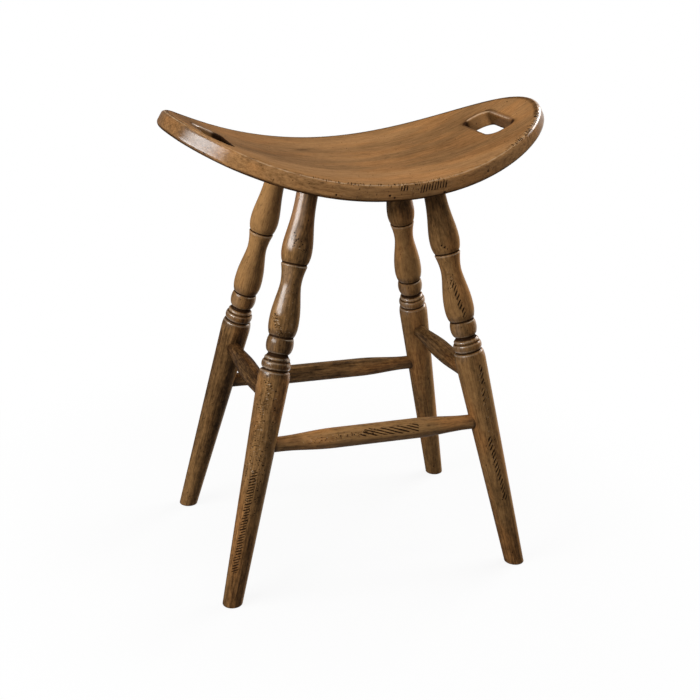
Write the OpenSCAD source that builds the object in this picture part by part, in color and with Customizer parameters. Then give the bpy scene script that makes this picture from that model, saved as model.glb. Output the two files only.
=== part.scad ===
// Saddle bar stool: an oval seat bent like a saddle, on four splayed turned legs tied by four stretchers.
// Millimetres, +Z up. The origin is on the floor under the middle of the seat, whose length runs along X.
// The front of the stool is the long side that faces -Y.

/* [Seat] */
// Height of the seat's rim above the floor, at the middle of its long sides
seat_height = 610; // [520:1:780]
// Length of the seat at the middle of its rim, seen from above
seat_length = 558; // [500:1:640]
// Width of the seat at the middle of its rim, from front to back
seat_width = 354; // [320:1:420]
// Thickness of the seat at its rim
seat_thickness = 24.5; // [22:0.5:38]
// Height of the seat's two ends above its middle
saddle_rise = 80; // [40:1:100]
// Share of the rise that is held back for the ends, 0 for a plain parabola
late_rise = 0.04; // [0:0.01:0.2]
// Fullness of the seat's ends, 2 for an ellipse and more for squarer ends
end_fullness = 2.2; // [2:0.1:2.8]
// Depth of the hollow dished into the top at its middle
dish_depth = 5; // [0:0.5:7]
// Radius worked along the top edge of the rim
top_edge_radius = 6; // [2:0.5:10]
// Radius worked along the bottom edge of the rim
bottom_edge_radius = 8; // [2:0.5:10]

/* [Handholds] */
// Distance from each end of the seat to the middle of its handhold
handhold_from_end = 68; // [62:0.5:90]
// Length of a handhold, across the seat
handhold_length = 100; // [80:1:130]
// Width of a handhold, along the seat
handhold_width = 39; // [30:0.5:46]
// Radius of a handhold's four corners
handhold_corner = 16; // [6:0.5:17]
// Radius that eases a handhold's edges, above and below
handhold_ease = 2.5; // [1:0.5:5]

/* [Stance] */
// Distance from each end of the seat to the legs there, at half the seat's thickness
leg_from_end = 191.5; // [170:0.5:205]
// Distance from each long side of the seat to the legs there
leg_from_side = 103.3; // [85:0.1:115]
// Splay of the legs along the seat, in degrees
leg_splay_x = 12.94; // [6:0.01:16]
// Splay of the legs across the seat, in degrees
leg_splay_y = 8.45; // [4:0.01:12]
// Depth that a leg's tenon goes into the seat, along the leg
leg_tenon_depth = 12.5; // [8:0.5:14]
// Clearance round each glued tenon
glue_gap = 0.1; // [0.05:0.05:0.2]

/* [Leg diameters] */
// Tenon, and the leg where it enters the seat
tenon_diameter = 30.4; // [24:0.1:32]
// Upper vase at its widest
upper_vase_diameter = 43; // [38:0.5:50]
// Lower vase at its widest
lower_vase_diameter = 42.6; // [38:0.1:50]
// Leg at the edges of the groove that ends each vase
groove_edge_diameter = 37.6; // [34:0.1:37.8]
// Neck between the two vases
neck_diameter = 29.7; // [24:0.1:32]
// Bead at its widest
bead_diameter = 39; // [36:0.5:44]
// Neck between the bead and the fillet
bead_neck_diameter = 28.6; // [24:0.1:32]
// Fillet on top of the collar
fillet_diameter = 37; // [33:0.5:39]
// Collar at its widest
collar_diameter = 42.2; // [40:0.1:48]
// Leg just under its shoulder, where it is thickest
shoulder_diameter = 45.6; // [43:0.1:54]
// Leg at the floor
foot_diameter = 29; // [24:0.5:38]

/* [Leg lengths] */
// Plain stretch below the seat, before the leg swells
tenon_lead = 10; // [6:0.5:16]
// From the plain stretch to the widest part of the upper vase
upper_vase_swell = 81.5; // [60:0.5:100]
// From a vase's widest part to its groove
vase_foot = 17; // [12:0.5:24]
// Width of the groove that ends each vase
groove_width = 4.4; // [2:0.1:6]
// Depth of each groove
groove_depth = 1.6; // [0.5:0.1:3]
// From the upper groove to the neck between the vases
flare = 26; // [18:0.5:36]
// From that neck to the widest part of the lower vase
lower_vase_swell = 55.5; // [40:0.5:70]
// Height of the bead
bead_height = 22.5; // [18:0.5:28]
// Cove from the bead's neck to the fillet
fillet_cove = 6.5; // [4:0.5:9]
// Height of the fillet
fillet_height = 4; // [2:0.5:6]
// Height of the collar
collar_height = 12; // [8:0.5:18]
// Width of the groove between the collar and the shoulder
shoulder_groove = 2.4; // [1:0.1:5]
// Height over which the shoulder rounds out to its full diameter
shoulder_height = 14; // [8:0.5:22]
// Size of the bevel that eases the edge of each foot
foot_bevel = 1.5; // [0.5:0.5:4]

/* [Stretchers] */
// Height of the front and back stretchers above the floor
long_stretcher_height = 231.5; // [170:0.5:245]
// Height of the side stretchers above the floor
side_stretcher_height = 297; // [285:1:305]
// Diameter of a stretcher at its middle
stretcher_diameter = 30.2; // [26:0.1:36]
// Diameter of a stretcher at its ends, which are its tenons
stretcher_end_diameter = 22; // [16:0.5:24]
// Plain stretch of each end, measured from the axis of its leg
stretcher_plain_end = 30; // [28:0.5:36]
// Length over which a stretcher swells to its full diameter
stretcher_swell = 80; // [50:1:84]
// Distance that a stretcher's tenon runs past the axis of its leg
stretcher_tenon_past = 4; // [0:0.5:8]

/* [Hidden] */
$fn = 72;

// Colours
seat_brown = [0.56, 0.39, 0.22];
leg_brown = [0.40, 0.26, 0.14];
stretcher_brown = [0.44, 0.29, 0.16];

// Fineness of the seat's surface
rim_points = 80;
top_rings = 9;
edge_steps = 4;
bottom_rings = 6;
corner_points = 5;

// Fineness of the turned curves
curve_steps = 12;
arc_steps = 8;

// Powers of the turned curves: a leaning swell turns early below 1 and late above 1
upper_vase_lean = 1.55;
lower_vase_lean = 0.8;
stretcher_lean = 0.9;
vase_foot_power = 2.3;
cove_power = 2;
dish_power = 3;

// Overshoot of every cutting body
overshoot = 1;

// Seat: where its middle surface lies
half_length = seat_length / 2;
half_width = seat_width / 2;
half_thickness = seat_thickness / 2;
middle_z = seat_height - half_thickness;
handhold_x = half_length - handhold_from_end;
leg_x = half_length - leg_from_end;
leg_y = half_width - leg_from_side;

function rise_at(u) = saddle_rise * ((1 - late_rise) * pow(u, 2) + late_rise * pow(u, 4));
function slope_at(x) =
    let (u = x / half_length)
    atan(saddle_rise / half_length * (2 * (1 - late_rise) * u + 4 * late_rise * pow(u, 3)));

// A point of the seat: x and y on the middle surface, then w square to it
function seat_point(x, y, w) =
    [x - w * sin(slope_at(x)), y, middle_z + rise_at(x / half_length) + w * cos(slope_at(x))];

// Signed power, which keeps the sign of its base
function spow(base, power) = sign(base) * pow(abs(base), power);

// Rim of the seat in plan at angle a, moved inwards by inset
function rim_point(a, inset) =
    let (c = cos(a), s = sin(a),
         along = spow(c, (end_fullness - 1) * 2 / end_fullness) / half_length,
         across = s / half_width,
         size = norm([along, across]))
    [half_length * spow(c, 2 / end_fullness) - inset * along / size,
     half_width * s - inset * across / size];

// Hollow of the dish at a share of the way out to the rim's top edge
function dish_at(share) = dish_depth * (1 - pow(min(share, 1), dish_power));
function rim_share(x, y) = pow(pow(abs(x) / (half_length - top_edge_radius), end_fullness)
                             + pow(abs(y) / (half_width - top_edge_radius), 2), 1 / end_fullness);

function angle_of(i, count) = 360 * i / count;
function seat_ring(share, inset, w) =
    [for (i = [0:rim_points - 1])
        let (p = share * rim_point(angle_of(i, rim_points), inset)) seat_point(p.x, p.y, w)];

// Rings of the seat's skin, from the middle of the underside over the rim to the middle of the top
bottom_skin = [for (k = [1:bottom_rings])
    seat_ring(k / bottom_rings, bottom_edge_radius, -half_thickness)];
bottom_edge = [for (k = [1:edge_steps])
    let (a = 90 * (1 - k / edge_steps))
    seat_ring(1, bottom_edge_radius * (1 - cos(a)), -half_thickness + bottom_edge_radius * (1 - sin(a)))];
top_edge = [for (k = [0:edge_steps])
    let (a = 90 * k / edge_steps)
    seat_ring(1, top_edge_radius * (1 - cos(a)), half_thickness - top_edge_radius * (1 - sin(a)))];
top_skin = [for (k = [1:top_rings - 1])
    let (share = 1 - k / top_rings) seat_ring(share, top_edge_radius, half_thickness - dish_at(share))];

// Handhold: a rounded rectangle on the seat's middle surface, grown outwards by ease. Its corners leave a
// short straight stretch at each end
slot_corner = min(handhold_corner, handhold_width / 2 - 1);
function slot_outline(grow) =
    [for (q = [0:3], k = [0:corner_points])
        let (a = 90 * (q + k / corner_points), r = slot_corner + grow,
             cx = handhold_width / 2 - slot_corner, cy = handhold_length / 2 - slot_corner)
        [(q == 0 || q == 3 ? cx : -cx) + r * cos(a), (q < 2 ? cy : -cy) + r * sin(a)]];
function top_w(x, y) = half_thickness - dish_at(rim_share(x, y));
function slot_top(a, lift) =
    [for (p = slot_outline(handhold_ease * (1 - cos(a))))
        let (x = handhold_x + p.x)
        seat_point(x, p.y, top_w(x, p.y) - handhold_ease * (1 - sin(a)) + lift)];
function slot_bottom(a, drop) =
    [for (p = slot_outline(handhold_ease * (1 - cos(a))))
        seat_point(handhold_x + p.x, p.y, -half_thickness + handhold_ease * (1 - sin(a)) - drop)];
slot_rings = concat(
    [slot_bottom(90, overshoot)],
    [for (k = [0:edge_steps]) slot_bottom(90 * (1 - k / edge_steps), 0)],
    [for (k = [0:edge_steps]) slot_top(90 * k / edge_steps, 0)],
    [slot_top(90, overshoot)]);

// Leg: the point where its axis meets the underside, and the tilt of the axis
leg_seat = seat_point(leg_x, leg_y, -half_thickness);
leg_tilt_y = leg_splay_x;
leg_tilt_x = atan(tan(leg_splay_y) * cos(leg_splay_x));
leg_stretch = norm([tan(leg_splay_x), tan(leg_splay_y), 1]);
leg_length = leg_seat.z * leg_stretch;
function leg_axis_at(z) = [leg_seat.x + tan(leg_splay_x) * (leg_seat.z - z),
                           leg_seat.y + tan(leg_splay_y) * (leg_seat.z - z), z];

// Leg: distances of its turned features down from the seat, along its axis
upper_vase_d = tenon_lead + upper_vase_swell;
upper_groove_d = upper_vase_d + vase_foot;
flare_d = upper_groove_d + groove_width;
neck_d = flare_d + flare;
lower_vase_d = neck_d + lower_vase_swell;
lower_groove_d = lower_vase_d + vase_foot;
bead_d = lower_groove_d + groove_width;
bead_neck_d = bead_d + bead_height;
fillet_d = bead_neck_d + fillet_cove;
collar_d = fillet_d + fillet_height;
shoulder_groove_d = collar_d + collar_height;
shoulder_d = shoulder_groove_d + shoulder_groove;
thick_d = shoulder_d + shoulder_height;

// The bead's widest ring lies nearer to its groove than to its neck
bead_middle_share = 0.42;
// How far the collar and the shoulder swell out from their edges, and how deep the groove between them is
collar_bulge = 2.8;
collar_arc = 80;
shoulder_bulge = 2.6;
shoulder_groove_cut = 1.4;

taper_rate = (shoulder_diameter - foot_diameter) / 2 / (leg_length - thick_d);
leg_end_d = leg_length + foot_diameter;
function taper_radius(d) = shoulder_diameter / 2 - taper_rate * (d - thick_d);

// Turned curves, as [radius, height] points that run down the leg from d0 to d1
function swell(d0, r0, d1, r1, lean) =
    [for (k = [0:curve_steps])
        let (u = k / curve_steps, share = (1 - cos(180 * pow(u, lean))) / 2)
        [r0 + (r1 - r0) * share, -(d0 + (d1 - d0) * u)]];
function round_off(d0, r0, d1, r1, power) =
    [for (k = [1:curve_steps])
        let (u = k / curve_steps) [r0 + (r1 - r0) * pow(u, power), -(d0 + (d1 - d0) * u)]];
function cove(d0, r0, d1, r1, power) =
    [for (k = [0:curve_steps])
        let (u = k / curve_steps) [r1 + (r0 - r1) * pow(1 - u, power), -(d0 + (d1 - d0) * u)]];
function turned_arc(d, base_r, half_len, height, a0, a1) =
    [for (k = [0:arc_steps])
        let (a = a0 + (a1 - a0) * k / arc_steps) [base_r + height * cos(a), -(d + half_len * sin(a))]];

tenon_r = tenon_diameter / 2;
upper_vase_r = upper_vase_diameter / 2;
lower_vase_r = lower_vase_diameter / 2;
groove_edge_r = groove_edge_diameter / 2;
neck_r = neck_diameter / 2;
bead_neck_r = bead_neck_diameter / 2;
fillet_r = fillet_diameter / 2;
collar_edge_r = collar_diameter / 2 - collar_bulge;
shoulder_edge_r = shoulder_diameter / 2 - shoulder_bulge;
bead_r = bead_diameter / 2;
bead_drop = bead_r - bead_neck_r;
bead_middle_d = bead_d + bead_height * bead_middle_share;
bead_half = bead_height * (1 - bead_middle_share);
bead_start_a = -asin(min(1, bead_middle_share / (1 - bead_middle_share)));

leg_profile = concat(
    [[0, leg_tenon_depth], [tenon_r, leg_tenon_depth]],
    swell(tenon_lead, tenon_r, upper_vase_d, upper_vase_r, upper_vase_lean),
    round_off(upper_vase_d, upper_vase_r, upper_groove_d, groove_edge_r, vase_foot_power),
    [[groove_edge_r - groove_depth, -(upper_groove_d + groove_width / 2)]],
    cove(flare_d, groove_edge_r, neck_d, neck_r, cove_power),
    [for (p = swell(neck_d, neck_r, lower_vase_d, lower_vase_r, lower_vase_lean)) if (p[1] < -neck_d) p],
    round_off(lower_vase_d, lower_vase_r, lower_groove_d, groove_edge_r, vase_foot_power),
    [[groove_edge_r - groove_depth, -(lower_groove_d + groove_width / 2)]],
    turned_arc(bead_middle_d, bead_neck_r, bead_half, bead_drop, bead_start_a, 90),
    round_off(bead_neck_d, bead_neck_r, fillet_d, fillet_r, cove_power),
    [[fillet_r, -collar_d]],
    turned_arc(collar_d + collar_height / 2, collar_edge_r, collar_height / 2, collar_bulge,
               -collar_arc, collar_arc),
    [[collar_edge_r - shoulder_groove_cut, -(shoulder_groove_d + shoulder_groove / 2)]],
    turned_arc(thick_d, shoulder_edge_r, shoulder_height, shoulder_bulge, -90, 0),
    [[taper_radius(leg_end_d), -leg_end_d], [0, -leg_end_d]]);

stretcher_r = stretcher_diameter / 2;
stretcher_end_r = stretcher_end_diameter / 2;
// Stretcher: half of its outline, from its middle to the end of its tenon
function stretcher_half(reach) =
    let (start = reach - stretcher_plain_end,
         full = max(0, start - stretcher_swell))
    concat([for (k = [0:curve_steps])
                let (u = k / curve_steps, share = (1 - cos(180 * pow(1 - u, stretcher_lean))) / 2)
                [stretcher_end_r + (stretcher_r - stretcher_end_r) * share, full + (start - full) * u]],
           [[stretcher_end_r, reach + stretcher_tenon_past], [0, reach + stretcher_tenon_past]]);

// Skin over closed rings of equal size that run upwards, each counterclockwise from above,
// capped by fans from the middle of the first and of the last
module skin(rings) {
    n = len(rings[0]);
    last = len(rings) - 1;
    points = concat([for (ring = rings) each ring], [average(rings[0]), average(rings[last])]);
    hub_a = n * (last + 1);
    hub_b = hub_a + 1;
    faces = concat(
        [for (i = [0:n - 1]) [hub_a, i, (i + 1) % n]],
        [for (k = [0:last - 1], i = [0:n - 1]) [k * n + i, (k + 1) * n + i, (k + 1) * n + (i + 1) % n]],
        [for (k = [0:last - 1], i = [0:n - 1]) [k * n + i, (k + 1) * n + (i + 1) % n, k * n + (i + 1) % n]],
        [for (i = [0:n - 1]) [hub_b, last * n + (i + 1) % n, last * n + i]]);
    polyhedron(points, faces);
}
function average(ring) = [for (axis = [0:2]) let (v = [for (p = ring) p[axis]]) (max(v) + min(v)) / 2];

// Places its children at a leg's seat point, with +Z up along the leg
module at_leg(sx, sy) {
    translate([sx * leg_seat.x, sy * leg_seat.y, leg_seat.z])
        rotate([sy * leg_tilt_x, -sx * leg_tilt_y, 0])
            children();
}

// Bores for the ends of the two stretchers that a leg holds
module stretcher_bores(sx, sy) {
    bore_r = stretcher_end_r + glue_gap;
    bore_length = shoulder_diameter + stretcher_tenon_past;
    long = leg_axis_at(long_stretcher_height);
    side = leg_axis_at(side_stretcher_height);
    translate([sx * (long.x + stretcher_tenon_past), sy * long.y, long.z])
        rotate([0, -sx * 90, 0]) cylinder(r = bore_r, h = bore_length);
    translate([sx * side.x, sy * (side.y + stretcher_tenon_past), side.z])
        rotate([sy * 90, 0, 0]) cylinder(r = bore_r, h = bore_length);
}

// Keeps what lies above the floor, with a bevel round the foot
module above_floor(sx, sy) {
    foot = leg_axis_at(0);
    wide_r = foot_diameter / 2 * leg_stretch;
    translate([sx * foot.x, sy * foot.y, 0])
        union() {
            cylinder(r1 = wide_r - foot_bevel, r2 = wide_r + foot_bevel, h = 2 * foot_bevel);
            translate([0, 0, foot_bevel]) cylinder(r = seat_height, h = 2 * seat_height);
        }
}

module leg(sx, sy) {
    color(leg_brown)
        difference() {
            intersection() {
                at_leg(sx, sy) rotate_extrude() polygon(leg_profile);
                above_floor(sx, sy);
            }
            stretcher_bores(sx, sy);
        }
}

module stretcher(reach) {
    half = stretcher_half(reach);
    mirrored = [for (i = [len(half) - 1:-1:1]) [half[i][0], -half[i][1]]];
    color(stretcher_brown) rotate_extrude() polygon(concat(mirrored, half));
}

module seat_blank() {
    skin(concat(bottom_skin, bottom_edge, top_edge, top_skin));
}

module seat() {
    color(seat_brown)
        difference() {
            seat_blank();
            for (side = [0, 1]) mirror([side, 0, 0]) skin(slot_rings);
            for (sx = [-1, 1], sy = [-1, 1])
                at_leg(sx, sy)
                    translate([0, 0, -tenon_lead])
                        cylinder(d = tenon_diameter + 2 * glue_gap, h = tenon_lead + leg_tenon_depth);
        }
}

module leg_front_left() leg(-1, -1);
module leg_front_right() leg(1, -1);
module leg_back_left() leg(-1, 1);
module leg_back_right() leg(1, 1);

module long_stretcher(sy) {
    middle = leg_axis_at(long_stretcher_height);
    translate([0, sy * middle.y, middle.z]) rotate([0, 90, 0]) stretcher(middle.x);
}
module side_stretcher(sx) {
    middle = leg_axis_at(side_stretcher_height);
    translate([sx * middle.x, 0, middle.z]) rotate([90, 0, 0]) stretcher(middle.y);
}
module stretcher_front() long_stretcher(-1);
module stretcher_back() long_stretcher(1);
module stretcher_left() side_stretcher(-1);
module stretcher_right() side_stretcher(1);

seat();
leg_front_left();
leg_front_right();
leg_back_left();
leg_back_right();
stretcher_front();
stretcher_back();
stretcher_left();
stretcher_right();
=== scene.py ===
"""Saddle bar stool: stained and glazed wood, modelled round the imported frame. Metres, +Z up."""
import math

import bpy
import numpy as np
from mathutils import Matrix, Vector
from mathutils.geometry import delaunay_2d_cdt


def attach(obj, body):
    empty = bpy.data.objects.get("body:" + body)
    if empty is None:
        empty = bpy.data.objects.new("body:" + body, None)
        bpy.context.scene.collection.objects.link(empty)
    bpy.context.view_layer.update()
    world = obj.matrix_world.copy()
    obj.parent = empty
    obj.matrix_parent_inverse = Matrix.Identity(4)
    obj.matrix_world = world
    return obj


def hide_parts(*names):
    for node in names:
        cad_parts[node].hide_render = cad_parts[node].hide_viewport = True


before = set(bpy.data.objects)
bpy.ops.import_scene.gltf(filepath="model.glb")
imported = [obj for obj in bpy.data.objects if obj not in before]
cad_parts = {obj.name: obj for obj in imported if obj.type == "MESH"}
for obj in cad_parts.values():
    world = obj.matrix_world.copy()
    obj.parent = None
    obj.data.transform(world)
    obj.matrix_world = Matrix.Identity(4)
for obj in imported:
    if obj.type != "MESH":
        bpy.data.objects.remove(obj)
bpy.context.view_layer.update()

MM = 0.001

# Seat, as in the part's source
HALF_LENGTH = 279 * MM
HALF_WIDTH = 177 * MM
THICK = 24.5 * MM
HEIGHT = 610 * MM
RISE = 80 * MM
LATE_RISE = 0.04
FULLNESS = 2.2
DISH = 5 * MM
DISH_POWER = 3
TOP_EDGE = 6 * MM
BOTTOM_EDGE = 8 * MM
MIDDLE_Z = HEIGHT - THICK / 2

# Handholds
SLOT_X = 211 * MM
SLOT_HALF_WIDTH = 19.5 * MM
SLOT_HALF_LENGTH = 50 * MM
SLOT_CORNER = 16 * MM
SLOT_EASE = 2.5 * MM

# Stance of the legs
LEG_X = 87.5 * MM
LEG_Y = 73.7 * MM
LEAN_X = math.tan(math.radians(12.94))
LEAN_Y = math.tan(math.radians(8.45))
TENON = 12.5 * MM
LONG_HEIGHT = 231.5 * MM
SIDE_HEIGHT = 297 * MM
FOOT_BEVEL = 1.5 * MM

# Stretchers
STRETCHER_R = 15.1 * MM
STRETCHER_END_R = 11 * MM
PLAIN_END = 30 * MM
SWELL = 80 * MM
PAST_AXIS = 4 * MM
STRETCHER_LEAN = 0.9


def smooth(low, high, value):
    """0 below low, 1 above high, eased between."""
    t = np.clip((np.asarray(value, float) - low) / (high - low), 0, 1)
    return t * t * (3 - 2 * t)


def bell(value, middle, half):
    """1 at the middle, falling smoothly to nothing about twice half away."""
    return np.exp(-((value - middle) / half) ** 2)


def blurred(values, sigma):
    """A row of evenly spaced values, blurred by sigma steps."""
    reach = int(4 * sigma) + 1
    weights = np.exp(-0.5 * (np.arange(-reach, reach + 1) / sigma) ** 2)
    return np.convolve(np.pad(values, reach, mode="edge"), weights / weights.sum(), mode="valid")


# Meshes
def add_object(name, data):
    thing = bpy.data.objects.new(name, data)
    bpy.context.scene.collection.objects.link(thing)
    return thing


def make_piece(name, points, faces, fields, unrolled, node, finish):
    """A smooth mesh that stands for one node of the frame. fields are its own values at each point, and
    unrolled gives each corner's place on the surface laid flat."""
    mesh = bpy.data.meshes.new(name)
    mesh.from_pydata([tuple(p) for p in points], [], faces)
    for key, values in fields.items():
        values = np.asarray(values, np.float32)
        kind, part = ("FLOAT_VECTOR", "vector") if values.ndim == 2 else ("FLOAT", "value")
        mesh.attributes.new(key, kind, "POINT").data.foreach_set(part, values.ravel())
    layer = mesh.uv_layers.new(name="unrolled")
    layer.data.foreach_set("uv", np.asarray(unrolled, np.float32).ravel())
    mesh.polygons.foreach_set("use_smooth", [True] * len(mesh.polygons))
    mesh.materials.append(finish)
    mesh.update()
    piece = add_object(name, mesh)
    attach(piece, "root")
    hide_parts(node)


def ring_faces(rows, columns):
    """Quads between rings, and for each corner its row and its column, which runs on past the seam."""
    row, column = np.meshgrid(np.arange(rows - 1), np.arange(columns), indexing="ij")
    corner_row = np.stack([row, row, row + 1, row + 1], -1).reshape(-1, 4)
    corner_column = np.stack([column, column + 1, column + 1, column], -1).reshape(-1, 4)
    return corner_row * columns + corner_column % columns, corner_row, corner_column


# Turned outlines
STEP = 0.1 * MM
CURVE_POINTS = 40
# Blurs of an outline, in steps: how its corners are sanded, and how its edges and its swells are told apart
CORNER_BLUR = 4.5
EDGE_BLUR = 9
SWELL_BLUR = 120


def outline(*stretches):
    """Radii every STEP along a turned outline, its corners softened by sanding."""
    d = np.concatenate([s[0] for s in stretches])
    r = np.concatenate([s[1] for s in stretches])
    even = np.arange(d[0], d[-1], STEP)
    return even, blurred(np.interp(even, d, r), CORNER_BLUR)


def turned(d0, d1, shape):
    """A stretch of outline from d0 to d1, whose radius is shape(share)."""
    u = np.linspace(0, 1, CURVE_POINTS)
    return d0 + (d1 - d0) * u, shape(u)


def swell(d0, r0, d1, r1, lean):
    """Eased from r0 to r1. A lean over 1 brings the change nearer to d1."""
    return turned(d0, d1, lambda u: r0 + (r1 - r0) * (1 - np.cos(np.pi * u ** lean)) / 2)


def round_off(d0, r0, d1, r1, power):
    """Level at d0, then ever steeper."""
    return turned(d0, d1, lambda u: r0 + (r1 - r0) * u ** power)


def cove(d0, r0, d1, r1, power):
    """Steep at d0, and level at d1."""
    return turned(d0, d1, lambda u: r1 + (r0 - r1) * (1 - u) ** power)


def arc(middle, base, half, height, a0, a1):
    """Part of an oval that stands on base, from a0 to a1 in degrees, where 0 is its highest point."""
    a = np.radians(np.linspace(a0, a1, CURVE_POINTS))
    return middle + half * np.sin(a), base + height * np.cos(a)


def point(d, r):
    return np.array([d]), np.array([r])


# Distances down a leg from the seat: upper swell, groove and neck, lower swell, groove, bead and bead's neck
UPPER, GROOVE, FLARE, NECK = (v * MM for v in (91.5, 108.5, 112.9, 138.9))
LOWER, LOWER_GROOVE, BEAD, BEAD_NECK = (v * MM for v in (194.4, 211.4, 215.8, 238.3))
# Then the fillet and collar, the groove under them, and the shoulder and thickest place of the plain taper
FILLET, COLLAR, CUT, SHOULDER, THICKEST = (v * MM for v in (244.8, 248.8, 260.8, 263.2, 277.2))
COLLAR_SWELL = 2.8 * MM
LEG_RADII = dict(tenon=15.2, upper=21.5, lower=21.3, edge=18.8, groove=17.2, neck=14.85, bead=19.5,
                 bead_neck=14.3, fillet=18.5, collar=18.3, collar_groove=16.9, shoulder=20.2, thick=22.8,
                 foot=14.5)


def leg_outline(leg_length):
    """The leg's outline: distances down from the seat, and radii."""
    r = {key: value * MM for key, value in LEG_RADII.items()}
    bead_middle = BEAD + 0.42 * (BEAD_NECK - BEAD)
    return outline(
        point(-TENON, r["tenon"]),
        swell(10 * MM, r["tenon"], UPPER, r["upper"], 1.55),
        round_off(UPPER, r["upper"], GROOVE, r["edge"], 2.3),
        point((GROOVE + FLARE) / 2, r["groove"]),
        cove(FLARE, r["edge"], NECK, r["neck"], 2),
        swell(NECK, r["neck"], LOWER, r["lower"], 0.8),
        round_off(LOWER, r["lower"], LOWER_GROOVE, r["edge"], 2.3),
        point((LOWER_GROOVE + BEAD) / 2, r["groove"]),
        arc(bead_middle, r["bead_neck"], BEAD_NECK - bead_middle, r["bead"] - r["bead_neck"], -46.4, 90),
        round_off(BEAD_NECK, r["bead_neck"], FILLET, r["fillet"], 2),
        point(COLLAR, r["fillet"]),
        arc((COLLAR + CUT) / 2, r["collar"], (CUT - COLLAR) / 2, COLLAR_SWELL, -80, 80),
        point((CUT + SHOULDER) / 2, r["collar_groove"]),
        arc(THICKEST, r["shoulder"], THICKEST - SHOULDER, r["thick"] - r["shoulder"], -90, 0),
        point(leg_length, r["foot"]))


def stretcher_outline(reach):
    """Half of a stretcher's outline, mirrored to the whole: distances from its middle, and radii."""
    start = reach - PLAIN_END
    full = max(0, start - SWELL)
    d, r = (v[::-1] for v in swell(start, STRETCHER_END_R, full, STRETCHER_R, STRETCHER_LEAN))
    d = np.concatenate([[0], d, [reach + PAST_AXIS]])
    r = np.concatenate([[STRETCHER_R], r, [STRETCHER_END_R]])
    return outline((np.concatenate([-d[:0:-1], d]), np.concatenate([r[:0:-1], r])))


def hollows_and_ridges(even, radius):
    """How sharply the outline turns in and out at each step, from 0 to 1."""
    soft = blurred(radius, EDGE_BLUR)
    bend = np.gradient(np.gradient(soft, STEP), STEP) * MM
    return smooth(0.035, 0.26, bend), smooth(0.05, 0.22, -bend)


# Turned pieces
LEG_COLUMNS = 72
STRETCHER_COLUMNS = 56
FOOT_RINGS = 8
FOOT_TURNS = np.radians([22.5, 45, 67.5, 90])
SOLE_SHARES = (0.03, 0.4, 0.9)
# The stretch of a leg whose turnings need close rings, and how far from its end its rings begin to lean
CLOSE_START = 84 * MM
CLOSE_END = 283 * MM
FOOT_LENGTH = 22 * MM


def leaning_rings(last, even, radius, start, along, out):
    """Distances along that lead from a leg's last square ring to a level one, a bevel above the floor."""
    r_last = np.interp(last, even, radius)
    taper = (radius[-1] - r_last) / (even[-1] - last)
    end = (FOOT_BEVEL - start[2] - (r_last - taper * last) * out[:, 2]) / (along[2] + taper * out[:, 2])
    return last + np.linspace(0, 1, FOOT_RINGS + 1)[1:, None] * (end - last)


def sole_rings(lip, start, along):
    """Rings that round a leg's level end over its bevel, then close it flat on the floor."""
    inward = start - along * start[2] / along[2] - lip
    inward[:, 2] = 0
    size = np.linalg.norm(inward, axis=1, keepdims=True)
    inward /= size
    down = np.array([0, 0, -FOOT_BEVEL])
    rings = [lip + inward * FOOT_BEVEL * (1 - math.cos(a)) + down * math.sin(a) for a in FOOT_TURNS]
    rings += [rings[-1] + inward * (size - FOOT_BEVEL) * share for share in SOLE_SHARES]
    return np.array(rings)


def turned_piece(node, even, radius, rings, start, along, front, columns, grain_offset, foot, wear, finish):
    """A turned piece: rings along its axis from start. front is the direction of its angle 0, and angles grow
    to the right. Where foot is true, its lower end is cut level with the floor. wear adds its marks, its
    painted shade and its painted glints."""
    along = Vector(along).normalized()
    front = (Vector(front) - Vector(front).dot(along) * along).normalized()
    side = -along.cross(front)
    start, along, front, side = (np.array(v) for v in (start, along, front, side))
    angle = np.linspace(-math.pi, math.pi, columns, endpoint=False)
    out = np.cos(angle)[:, None] * front + np.sin(angle)[:, None] * side
    d = np.repeat(rings[:, None], columns, 1)
    if foot:
        d = np.vstack([d, leaning_rings(rings[-1], even, radius, start, along, out)])
    r = np.interp(d, even, radius)
    points = start + d[..., None] * along + r[..., None] * out[None]
    if foot:
        sole = sole_rings(points[-1], start, along)
        points = np.concatenate([points, sole])
        d = np.vstack([d, np.repeat(d[-1:], len(sole), 0)])
        r = np.vstack([r, np.repeat(r[-1:], len(sole), 0)])
    rows = len(points)
    points = points.reshape(-1, 3)
    faces, corner_row, corner_column = ring_faces(rows, columns)
    faces = [list(map(int, f)) for f in faces]
    faces += [list(range(columns))[::-1], [(rows - 1) * columns + c for c in range(columns)]]
    flat_d = d[corner_row, corner_column % columns]
    unrolled = np.stack([flat_d, (corner_column / columns - 0.5) * 2 * math.pi * np.median(radius)], -1)
    ends = [np.stack([d[0], angle * r[0]], -1)[::-1], np.stack([d[-1], angle * r[-1]], -1)]
    unrolled = np.concatenate([unrolled.reshape(-1, 2), *ends])

    hollow, ridge = hollows_and_ridges(even, radius)
    wood = np.stack([d, r * np.cos(angle), r * np.sin(angle)], -1) + np.array(grain_offset)
    waist = np.interp(d, even, blurred(radius, SWELL_BLUR)) - r
    fields = {key: np.zeros(len(points)) for key in ("hatched", "pitted", "holed", "weathered", "shadow",
                                                     "polish", "stain")}
    fields["wood"] = wood.reshape(-1, 3)
    fields["hollow"] = np.interp(d, even, hollow).ravel()
    fields["ridge"] = np.interp(d, even, ridge).ravel()
    fields["waist"] = smooth(-2.5 * MM, 2.5 * MM, waist).ravel()
    wear(fields, points, d.ravel(), np.tile(angle, rows), r.ravel())
    make_piece("turned_" + node, points, faces, fields, unrolled, node, finish)


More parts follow.
